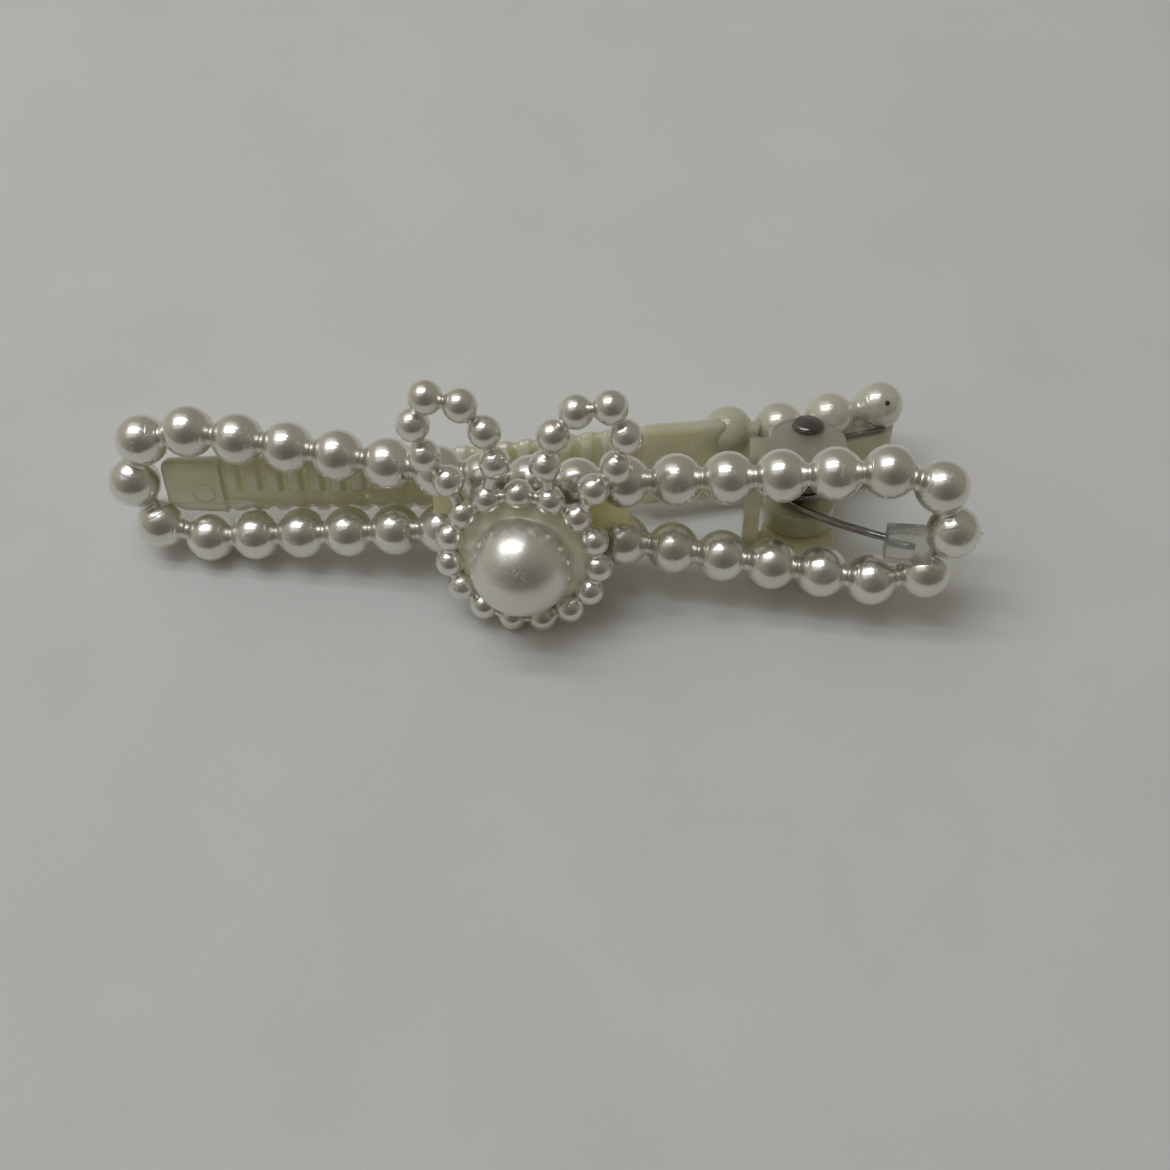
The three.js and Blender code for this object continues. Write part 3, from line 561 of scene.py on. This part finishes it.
def armBody():
    # sections along X, each a rounded polygon whose corners follow the ribs, chamfers, channel and both edges
    x = armPlaces()
    stepStart, stepEnd, stepDepth = arm["step"]
    gone = np.minimum(x - arm["tipX"], arm["endX"] - x)
    near = np.clip(1 - gone / arm["endRound"], 0, 1)
    inset = arm["endRound"] * (1 - np.sqrt(1 - near**2)) * 0.98
    wave, ribbed = ribWave(x)
    crest, groove = ribbed * wave, ribbed * (1 - wave)
    slope = np.clip((arm["padX"] - x) / (arm["padX"] - arm["tipX"]), 0, 1)
    tip = arm["tipSlope"] * (1 - np.sqrt(1 - 0.96 * slope**2))
    step = stepDepth * smoothStep(x, stepStart, stepEnd)
    front = faceY(x) + step + arm["ribDepth"] * groove + tip + inset * 0.3
    back = faceY(x) + step + arm["thickness"] - inset * 0.3
    drop = arm["crestDrop"] * groove + inset
    top = np.interp(x, arm["upperX"], arm["upperZ"]) - drop
    bottom = np.interp(x, arm["lowerX"], arm["lowerZ"]) + drop
    edge = np.minimum(arm["edge"], arm["edgeShare"] * (back - front))
    upper = edge + (arm["upperChamfer"] - edge) * crest
    lower = edge + (arm["lowerChamfer"] - edge) * crest + (arm["grooveChamfer"] - edge) * groove
    deep = arm["shallow"] + (arm["ribDepth"] - arm["shallow"]) * crest
    sunk = ribbed * smoothStep(x, *arm["sink"]) * (arm["ledge"][0] * wave + arm["ledge"][1] * (1 - wave))
    ledge = sunk - arm["ribDepth"] * groove
    low, high = (np.full(len(x), level) for level in arm["channel"])
    low = np.maximum(low, bottom + lower + 0.05)
    corners = np.stack([np.stack(pair, -1) for pair in (
        (back, bottom + edge), (back, top - edge), (back - edge, top), (front + upper, top),
        (front, top - upper), (front, high), (front + deep, high), (front + deep, low),
        (front + ledge, low), (front + ledge, bottom + lower), (front + ledge + lower, bottom),
        (back - edge, bottom))], 1)
    section = softened(corners)
    along = np.broadcast_to(x[:, None, None], section.shape[:2] + (1,))
    return ringSurface(np.concatenate((along, section), -1))


def ejectorMark():
    # a ring bent from a thin round tube, sunk into the pad until only its crest shows
    x, z, radius, tube = (padMark[key] for key in ("x", "z", "radius", "tube"))
    steps, sides = 64, 12
    around = np.linspace(0, 2 * np.pi, steps, endpoint=False)[:, None]
    about = np.linspace(0, 2 * np.pi, sides, endpoint=False)[None]
    reach = radius + tube * np.cos(about)
    across, rise = x + reach * np.cos(around), z + reach * np.sin(around)
    depth = faceY(across) + tube - padMark["height"] - tube * np.sin(about)
    points = np.stack((across, depth, rise), -1).reshape(-1, 3)
    i, j = np.meshgrid(np.arange(steps), np.arange(sides), indexing="ij")
    nextI, nextJ = (i + 1) % steps, (j + 1) % sides
    corners = (i * sides + j, nextI * sides + j, nextI * sides + nextJ, i * sides + nextJ)
    return points, np.stack(corners, -1).reshape(-1, 4).tolist()


def armEye(low, high):
    # a round eye on the pin with straight sides back into the arm
    pinX, pinY = lay["pin"][:2]
    sweep = np.linspace(np.pi, 2 * np.pi, 40)
    eye = np.stack((pinX + armLug["radius"] * np.cos(sweep), pinY + armLug["radius"] * np.sin(sweep)), -1)
    back = ((pinX + armLug["radius"], armLug["reach"]),
            (pinX - armLug["radius"], armLug["reach"] - 2 * armLug["radius"] * arm["handleSlope"]))
    return extruded(evenOutline(np.vstack((eye, back)), 120), low, high, armLug["bevel"])


lastPearls = [np.array(handlePearls[k]) for k in (2, 3)]
armShapes = [armBody(), armEye(*armLug["upper"]), armEye(*armLug["lower"])]
pearlShapes = [ball(centre, loop["radius"]) for centre in handlePearls[1:]]
pearlShapes.append(link(*lastPearls, loop["radius"], loop["radius"], loop["neck"]))
makePiece("ribbedArm", armShapes, milkyFinish, "rear_arm", "rear", sharp=35)
makePiece("handlePearls", pearlShapes, handlePearlFinish, "rear_arm", "rear")
makePiece("platePearl", [ball(handlePearls[0], loop["radius"])], platePearlFinish, "rear_arm", "rear")
makePiece("ejectorMark", [ejectorMark()], markFinish, "rear_arm", "rear")
makePiece("pearlDot", [ball(dot["place"], dot["radius"], 16, 8)], dotFinish, "rear_arm", "rear")
print("ribbed arm and", len(handlePearls), "handle pearls")

# The hinge: a rivet with a low domed head, and the torsion spring wound round it.
pin = {
    "radius": 0.8, "seat": 6.12, "head": 1.52, "headHeight": 0.65, "rimShare": 0.3, "lip": 0.06,
    "headRound": 0.45, "crown": 0.5, "tail": 1.15, "tailHeight": 0.55, "tailRound": 0.2,
}
spring = {
    "wire": 0.38, "coil": 2.0, "turns": 4, "low": -1.4, "high": 2.65, "frontAngle": 225.0, "rearAngle": 116.6,
    "frontReach": (27.5, 2.25), "frontEnd": (35.8, -0.42), "rearEndX": 33.7, "bend": (-0.9, 2.2),
}


def hingePin():
    # a lathed profile: spread tail, shank, and a head whose edge rounds over into a shallow dome
    seat, rim, lip = pin["seat"], pin["rimShare"] * pin["headHeight"], pin["lip"]
    headRound, tailRound = pin["headRound"], pin["tailRound"]
    dome = pin["headHeight"] - rim
    headSweep = np.linspace(0, np.pi / 2, 7)
    tailSweep = np.linspace(np.pi / 2, 0, 5)
    radius = np.concatenate((
        pin["tail"] - tailRound + tailRound * np.cos(tailSweep),
        (pin["tail"], pin["radius"], pin["radius"], pin["head"] - lip, pin["head"]),
        pin["head"] - headRound + headRound * np.cos(headSweep), (pin["crown"],)))
    height = np.concatenate((
        -seat - pin["tailHeight"] + tailRound - tailRound * np.sin(tailSweep),
        (-seat, -seat, seat, seat, seat + lip),
        seat + rim + 0.8 * dome * np.sin(headSweep), (seat + rim + 0.97 * dome,)))
    rings, middle = turned((*lay["pin"][:2], 0), (0, 0, 1), height, radius, 48)
    return ringSurface(rings, None, middle[-1] + (0, 0, 0.03 * dome))


def springPath():
    # front leg as one curve leaving the coil along its tangent, a climbing helix, then a straight rear leg
    pinX, pinY = lay["pin"][:2]
    sweep = spring["frontAngle"] - spring["rearAngle"] + 360 * spring["turns"]
    share = np.linspace(0, 1, 40 * spring["turns"])
    angle = np.radians(spring["frontAngle"] - sweep * share)
    level = spring["low"] + (spring["high"] - spring["low"]) * share
    coil = np.stack((pinX + spring["coil"] * np.cos(angle), pinY + spring["coil"] * np.sin(angle), level), -1)
    s = np.linspace(0, 1, 30)[:-1, None]
    tip, reach = (np.array((*spring[key], spring["low"])) for key in ("frontEnd", "frontReach"))
    front = (1 - s) ** 2 * tip + 2 * s * (1 - s) * reach + s**2 * coil[0]
    ahead = np.array((np.sin(angle[-1]), -np.cos(angle[-1]), 0))
    rear = coil[-1] + np.linspace(0, 1, 24)[1:, None] * ahead * (spring["rearEndX"] - coil[-1][0]) / ahead[0]
    return np.vstack((front, coil, rear))  # from the stop, round the pin, to the handle


makePiece("rivet", [hingePin()], rivetFinish, "hinge_pin", sharp=40)
wire = makePiece("closingSpring", [carriedTube(springPath(), spring["wire"])], wireFinish, "torsion_spring",
                 None)
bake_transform(wire)
print("hinge pin and spring:", spring["turns"], "turns")

# The ornament: a ring of small pearls on a backing disc, two leaning bead loops, a large pearl and its glue.
ring = {
    "place": (-0.3, -4.0, -3.24), "radius": 7.11, "count": 15, "pearl": 1.385, "turn": 92.0, "neck": 0.6,
    "disc": 6.7, "discFaces": (3.1, 3.6), "bevel": 0.12,
}
beads = {"offset": 5.8, "z": 8.7, "half": (3.1, 5.0), "lean": 26.5, "slots": 8, "small": 1.41, "large": 1.555}
bigPearl = {"radius": 4.84, "y": -5.05, "flatY": -3.95, "rimDepth": 0.02, "rimWidth": 0.15}
glue = {
    "bed": (-3.85, -3.7), "bedShare": 0.9, "lip": (4.74, 6.3), "lipTop": -4.5, "lipRise": 0.1, "lipEdge": 0.25,
    "hollow": 1.8, "waves": ((3, 0.16, 0.6), (7, 0.10, 2.1), (13, 0.06, 0.0)),
    "pad": 3.0, "padZ": -0.6, "padFaces": (-3.0, -2.55), "padLobes": 5, "padUneven": 0.25, "padBevel": 0.15,
}


def ringCentre(step):
    # evenly spaced places on a circle, counted from the one at the top
    angle = np.radians(ring["turn"] + 360 / ring["count"] * step)
    x, y, z = ring["place"]
    return np.array((x + ring["radius"] * np.cos(angle), y, z + ring["radius"] * np.sin(angle)))


def beadCentres(side):
    # evenly spaced places on an ellipse that leans outwards, its lowest place left to the ring
    t = np.radians(np.linspace(-90, 270, 721)) * -side + (np.pi if side > 0 else 0)
    across, along = beads["half"][0] * np.cos(t), beads["half"][1] * np.sin(t)
    lean = np.radians(-side * beads["lean"])
    x = ring["place"][0] + side * beads["offset"] + across * np.cos(lean) - along * np.sin(lean)
    z = beads["z"] + across * np.sin(lean) + along * np.cos(lean)
    run = np.concatenate(((0,), np.cumsum(np.hypot(np.diff(x), np.diff(z)))))
    places = np.linspace(0, run[-1], beads["slots"] + 1)[1:-1]
    level = np.full(len(places), ring["place"][1])
    return np.stack((np.interp(places, run, x), level, np.interp(places, run, z)), -1)


def ornamentShapes():
    # the ring, and both bead loops, whose beads grow towards the top and whose ends join the nearer ring pearls
    count, pearl, neck = ring["count"], ring["pearl"], ring["neck"]
    shapes = pearlString([ringCentre(k) for k in range(count)], np.full(count, pearl), neck, True)
    rise = np.sin(np.pi * np.arange(1, beads["slots"]) / beads["slots"])
    radii = beads["small"] + (beads["large"] - beads["small"]) * rise
    for side in (-1, 1):
        places = beadCentres(side)
        shapes += pearlString(places, radii, neck)
        roots = (ringCentre(-side), ringCentre(-2 * side))
        for end in (0, -1):
            root = min(roots, key=lambda spot: np.linalg.norm(spot - places[end]))
            shapes.append(link(places[end], root, radii[end], pearl, neck))
    return shapes


def backingDisc():
    # a circle extruded behind the ring
    sweep = np.linspace(0, 2 * np.pi, 96, endpoint=False)
    outline = ring["disc"] * np.stack((np.cos(sweep), np.sin(sweep)), -1)
    points, faces = extruded(outline, *ring["discFaces"], ring["bevel"])
    return points[:, (0, 2, 1)] * (1, -1, 1) + (ring["place"][0], 0, ring["place"][2]), faces


def largePearl():
    # a ball cut flat at the back, its rim slightly rounded
    size = bigPearl["radius"]
    polar = np.linspace(0, np.pi - np.arccos((bigPearl["flatY"] - bigPearl["y"]) / size), 40)[1:]
    along, radius = size * np.cos(polar), size * np.sin(polar)
    along = np.append(along, along[-1] - bigPearl["rimDepth"])
    radius = np.append(radius, radius[-1] - bigPearl["rimWidth"])
    centre = np.array((ring["place"][0], bigPearl["y"], ring["place"][2]))
    rings, _ = turned(centre, (0, -1, 0), along[::-1], radius[::-1], 72)
    return ringSurface(rings, None, centre + (0, -size, 0))


def glueRing():
    # a bed under the large pearl and a fillet up its side: radius and height move together along a hollow
    # curve, and the fillet's reach up the pearl swells and sinks round the ring as a sum of sine waves
    sweep = np.linspace(0, 2 * np.pi, 120, endpoint=False)
    uneven = sum(size * np.sin(times * sweep + begin) for times, size, begin in glue["waves"])
    innerR, outerR = glue["lip"]
    bedR = innerR * glue["bedShare"]
    low, high = glue["bed"]
    top = glue["lipTop"] - glue["lipRise"] * np.sin(sweep) + uneven
    rows = [(bedR, high), (outerR + 0.5 * uneven, high)]
    for share in np.linspace(0, 1, 9):
        hollow = (1 - share) ** glue["hollow"]
        rows.append((innerR + (outerR - innerR + 0.5 * uneven) * hollow, low + (top - low) * share))
    rows += [(innerR - glue["lipEdge"], top - 0.02), (bedR, low)]
    rings = [np.stack(np.broadcast_arrays(r * np.cos(sweep), y, r * np.sin(sweep)), -1) for r, y in rows]
    points, faces = ringSurface(np.stack(rings))
    return points + (ring["place"][0], 0, ring["place"][2]), faces


def gluePad():
    # a thin uneven disc pressed between the backing disc and the waist pearls
    sweep = np.linspace(0, 2 * np.pi, 72, endpoint=False)
    reach = glue["pad"] + glue["padUneven"] * np.sin(glue["padLobes"] * sweep)
    outline = reach[:, None] * np.stack((np.cos(sweep), np.sin(sweep)), -1)
    back, front = glue["padFaces"][1], glue["padFaces"][0]
    points, faces = extruded(outline, -back, -front, glue["padBevel"])
    return points[:, (0, 2, 1)] * (1, -1, 1) + (0, 0, glue["padZ"]), faces


makePiece("ornamentRing", ornamentShapes(), pearlFinish, "ornament_frame")
makePiece("ornamentDisc", [backingDisc()], milkyFinish, "ornament_frame", sharp=40)
makePiece("largePearl", [largePearl()], bigPearlFinish, "centre_pearl")
makePiece("pearlBed", [glueRing()], glueFinish, "pearl_glue")
makePiece("ornamentPad", [gluePad()], glueFinish, "ornament_glue")
print("ornament ready")

# The stage: a plain pale floor, two lamp tubes in a wide glow above to the left, and a warm dim room.
paper = {
    "width": 3.0, "tone": (0.80, 0.80, 0.785, 1), "cloudScale": 55.0, "cloudShade": 0.955, "grainScale": 2600.0,
    "grainTone": (0.55, 0.54, 0.51, 1), "grainShare": 0.06, "speckScale": 75.0,
    "speckTone": (0.36, 0.35, 0.33, 1),
}
room = {
    "near": 0.085, "far": 0.235, "left": 0.14, "seen": 0.5, "tone": (1.0, 0.93, 0.78, 1),
    "depthRange": (-0.9, 0.2), "sideRange": (-1.0, 0.1),
}
lamps = (
    {"name": "nearTube", "aim": (-0.30, 0.01, 0.88), "away": 0.6, "size": (0.032, 0.46), "watts": 0.5,
     "tone": (0.88, 0.94, 1.0)},
    {"name": "farTube", "aim": (-0.27, 0.24, 0.88), "away": 0.6, "size": (0.032, 0.46), "watts": 0.5,
     "tone": (0.88, 0.94, 1.0)},
    {"name": "ceilingGlow", "aim": (-0.41, 0.13, 0.88), "away": 0.62, "size": (0.76, 0.5), "watts": 0.46,
     "tone": (0.90, 0.95, 1.0)},
)


def makeFloor():
    # one flat square, its paper cloudy and finely grained, with a few dark specks
    half = paper["width"] / 2
    mesh = bpy.data.meshes.new("floor")
    corners = [(-half, -half, 0), (half, -half, 0), (half, half, 0), (-half, half, 0)]
    mesh.from_pydata(corners, [], [(0, 1, 2, 3)])
    material, tree, shader, place = newMaterial("paleFloor", {"Roughness": 0.85})
    cloud = newNode(tree, "ShaderNodeTexNoise", {
        "Vector": place, "Scale": paper["cloudScale"], "Detail": 5.0}).outputs[0]
    shade = tuple(paper["cloudShade"] * c for c in paper["tone"][:3]) + (1,)
    tone = blended(tree, mapped(tree, cloud, 0.3, 0.7), shade, paper["tone"])
    grain = newNode(tree, "ShaderNodeTexNoise", {
        "Vector": place, "Scale": paper["grainScale"], "Detail": 2.0}).outputs[0]
    tone = blended(tree, mapped(tree, grain, 0.3, 0.75, 0.0, paper["grainShare"]), tone, paper["grainTone"])
    cells = newNode(tree, "ShaderNodeTexVoronoi", {"Vector": place, "Scale": paper["speckScale"]})
    lot = newNode(tree, "ShaderNodeSeparateColor", {"Color": cells.outputs["Color"]}).outputs[0]
    speck = calculated(tree, "MULTIPLY", mapped(tree, cells.outputs["Distance"], 0.012, 0.03, 1.0, 0.0),
                       mapped(tree, lot, 0.8, 0.95))
    tree.links.new(blended(tree, speck, tone, paper["speckTone"]), shader.inputs["Base Color"])
    bumped(tree, shader, grain, 0.12, 0.0001)
    mesh.materials.append(material)
    floor = bpy.data.objects.new("floor", mesh)
    bpy.context.scene.collection.objects.link(floor)


def makeLamp(given):
    # a rectangle that faces the clip, its second side laid along X
    aim = Vector(given["aim"]).normalized()
    lamp = bpy.data.lights.new(given["name"], "AREA")
    lamp.shape = "RECTANGLE"
    lamp.size, lamp.size_y = given["size"]
    lamp.energy = given["watts"]
    lamp.color = given["tone"]
    holder = bpy.data.objects.new(given["name"], lamp)
    length = (Vector((1, 0, 0)) - aim.x * aim).normalized()
    axes = Matrix((length.cross(aim), length, aim)).transposed()
    holder.matrix_world = Matrix.Translation(aim * given["away"]) @ axes.to_4x4()
    bpy.context.scene.collection.objects.link(holder)


def makeRoom():
    # warm room light that rises smoothly from the viewer's side to the far side, and further to the left
    world = bpy.data.worlds.new("room")
    bpy.context.scene.world = world
    world.use_nodes = True
    tree = world.node_tree
    background = tree.nodes["Background"]
    direction = newNode(tree, "ShaderNodeTexCoord").outputs["Generated"]
    parts = newNode(tree, "ShaderNodeSeparateXYZ", {"Vector": direction}).outputs
    depth = mapped(tree, parts["Y"], *room["depthRange"], room["near"], room["far"])
    side = mapped(tree, parts["X"], *room["sideRange"], room["left"], 0.0)
    level = calculated(tree, "ADD", depth, side)
    seen = newNode(tree, "ShaderNodeLightPath").outputs["Is Camera Ray"]
    unseen = calculated(tree, "SUBTRACT", 1.0, seen)
    strength = calculated(tree, "ADD", calculated(tree, "MULTIPLY", level, unseen),
                          calculated(tree, "MULTIPLY", seen, room["seen"]))
    background.inputs["Color"].default_value = room["tone"]
    tree.links.new(strength, background.inputs["Strength"])


# The camera, in the clip's axes: how far it looks down on the loop and round it, and where it aims.
view = {
    "down": 37.298, "round": -6.333, "away": 113.519, "right": -3.461, "up": 7.403, "middle": -1.604,
    "focalPixels": 1200, "framePixels": 1170, "sensor": 36.0, "nearest": 0.005,
}


def makeCamera():
    # axes from the two angles, then back from the aim by the distance
    down, about = np.radians((view["down"], view["round"]))
    right = np.array((np.cos(about), -np.sin(about), 0))
    up = np.array((np.sin(about) * np.sin(down), np.cos(about) * np.sin(down), np.cos(down)))
    ahead = np.cross(up, right)
    place = -view["right"] * right - view["up"] * up - view["away"] * ahead - (view["middle"], 0, 0)
    lens = bpy.data.cameras.new("camera")
    lens.sensor_width = view["sensor"]
    lens.lens = view["sensor"] * (view["focalPixels"] / view["framePixels"])
    lens.clip_start = view["nearest"]
    camera = bpy.data.objects.new("camera", lens)
    axes = turn @ np.stack((right, up, -ahead), -1)
    pose = np.eye(4)
    pose[:3, :3], pose[:3, 3] = axes, toRow(place)
    camera.matrix_world = Matrix(pose.tolist())
    bpy.context.scene.collection.objects.link(camera)
    bpy.context.scene.camera = camera


makeFloor()
for given in lamps:
    makeLamp(given)
makeRoom()
makeCamera()
bpy.context.scene.view_settings.view_transform = "Standard"
print("stage, light and camera ready")
